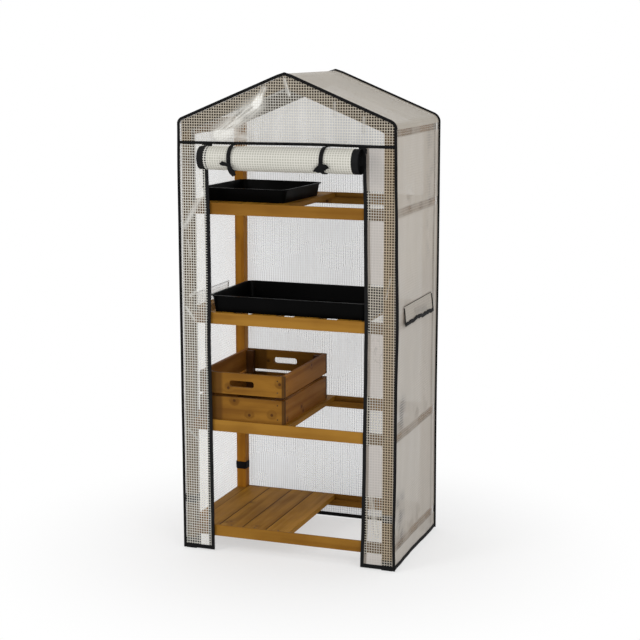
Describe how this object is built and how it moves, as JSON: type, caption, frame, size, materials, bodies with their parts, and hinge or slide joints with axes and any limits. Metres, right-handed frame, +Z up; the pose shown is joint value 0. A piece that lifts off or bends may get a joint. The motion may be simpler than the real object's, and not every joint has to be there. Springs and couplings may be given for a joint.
{
  "type": "wooden mini greenhouse",
  "caption": "Timber-framed mini greenhouse with slatted shelves under a gabled mesh-film cover, with a roll-up zipped door, side vents, a slatted crate and planting trays.",
  "frame": {"origin": "on the floor, at the middle of the whole outline in X and Y", "axes": "+Z up, the door faces -Y, +X to the right of someone who faces the door"},
  "size_m": [0.6824, 0.5258, 1.4342],
  "materials": {
    "stained_timber": "oiled honey-brown softwood",
    "dowel_wood": "plain beech dowel",
    "crate_wood": "stained pine, knots and end grain",
    "tray_plastic": "black moulded plastic, slight sheen",
    "foot_plastic": "black moulded cap",
    "cover_film": "clear film with a white woven grid inside",
    "door_film": "the same film rolled up, milky where layers lie on each other",
    "black_binding": "black folded edge binding",
    "black_webbing": "black woven tape",
    "zip_tape": "black zip tape with a moulded coil",
    "zip_metal": "black enamelled zip slider",
    "insect_net": "fine pale net",
    "steel": "zinc-plated fastener"
  },
  "bodies": {
    "root": {"cover_bindings": "black_binding", "cover_flap_left": "cover_film", "cover_flap_right": "cover_film", "cover_front_gable": "cover_film", "cover_hems": "black_binding", "cover_rear_panel": "cover_film", "cover_roof_left": "cover_film", "cover_roof_right": "cover_film", "cover_wall_left": "cover_film", "cover_wall_right": "cover_film", "door_hanging_sheet": "door_film", "eave_rails": "stained_timber", "foot_caps": "foot_plastic", "frame_screws": "steel", "front_rafters": "stained_timber", "front_rail_1": "stained_timber", "front_rail_2": "stained_timber", "front_rail_3": "stained_timber", "front_rail_4": "stained_timber", "post_front_left": "stained_timber", "post_front_right": "stained_timber", "post_rear_left": "stained_timber", "post_rear_right": "stained_timber", "post_straps": "black_webbing", "rear_rafters": "stained_timber", "rear_rail_1": "stained_timber", "rear_rail_2": "stained_timber", "rear_rail_3": "stained_timber", "rear_rail_4": "stained_timber", "ridge_beam": "stained_timber", "roof_dowels": "dowel_wood", "shelf_slats_1": "stained_timber", "shelf_slats_2": "stained_timber", "shelf_slats_3": "stained_timber", "shelf_slats_4": "stained_timber", "side_rails_1": "stained_timber", "side_rails_2": "stained_timber", "side_rails_3": "stained_timber", "side_rails_4": "stained_timber", "slat_nails": "steel", "vent_nets": "insect_net", "zip_chains": "zip_tape"},
    "crate": {"crate_base_slats": "crate_wood", "crate_corner_battens": "crate_wood", "crate_front_boards": "crate_wood", "crate_nails": "steel", "crate_rear_boards": "crate_wood", "crate_side_boards": "crate_wood"},
    "large_tray": {"large_tray": "tray_plastic"},
    "small_tray": {"small_tray": "tray_plastic"},
    "door_roll": {"door_roll": "door_film", "door_roll_tapes": "zip_tape", "door_ties": "black_webbing"},
    "zip_slider_left": {"zip_slider_left": "zip_metal"},
    "zip_slider_right": {"zip_slider_right": "zip_metal"},
    "vent_flap_left": {"vent_flap_left": "cover_film", "vent_binding_left": "black_binding"},
    "vent_flap_right": {"vent_flap_right": "cover_film", "vent_binding_right": "black_binding"}
  },
  "joints": [
    {"name": "door_roll_lower", "type": "slide", "parent": "root", "child": "door_roll", "axis": [0, 0, -1], "range_m": [0, 1.1428], "deforming": ["door_hanging_sheet"]},
    {"name": "zip_left", "type": "slide", "parent": "root", "child": "zip_slider_left", "axis": [0, 0, -1], "range_m": [0, 1.168]},
    {"name": "zip_right", "type": "slide", "parent": "root", "child": "zip_slider_right", "axis": [0, 0, -1], "range_m": [0, 1.168]},
    {"name": "vent_left", "type": "hinge", "parent": "root", "child": "vent_flap_left", "pos_m": [-0.3333, 0.04437, 0.767], "axis": [0, 1, 0], "range_deg": [0, 110]},
    {"name": "vent_right", "type": "hinge", "parent": "root", "child": "vent_flap_right", "pos_m": [0.3333, 0.04437, 0.767], "axis": [0, -1, 0], "range_deg": [0, 110]},
    {"name": "crate_lift", "type": "slide", "parent": "root", "child": "crate", "axis": [0, 0, 1], "range_m": [0, 0.12]},
    {"name": "large_tray_lift", "type": "slide", "parent": "root", "child": "large_tray", "axis": [0, 0, 1], "range_m": [0, 0.15]},
    {"name": "small_tray_lift", "type": "slide", "parent": "root", "child": "small_tray", "axis": [0, 0, 1], "range_m": [0, 0.15]}
  ]
}
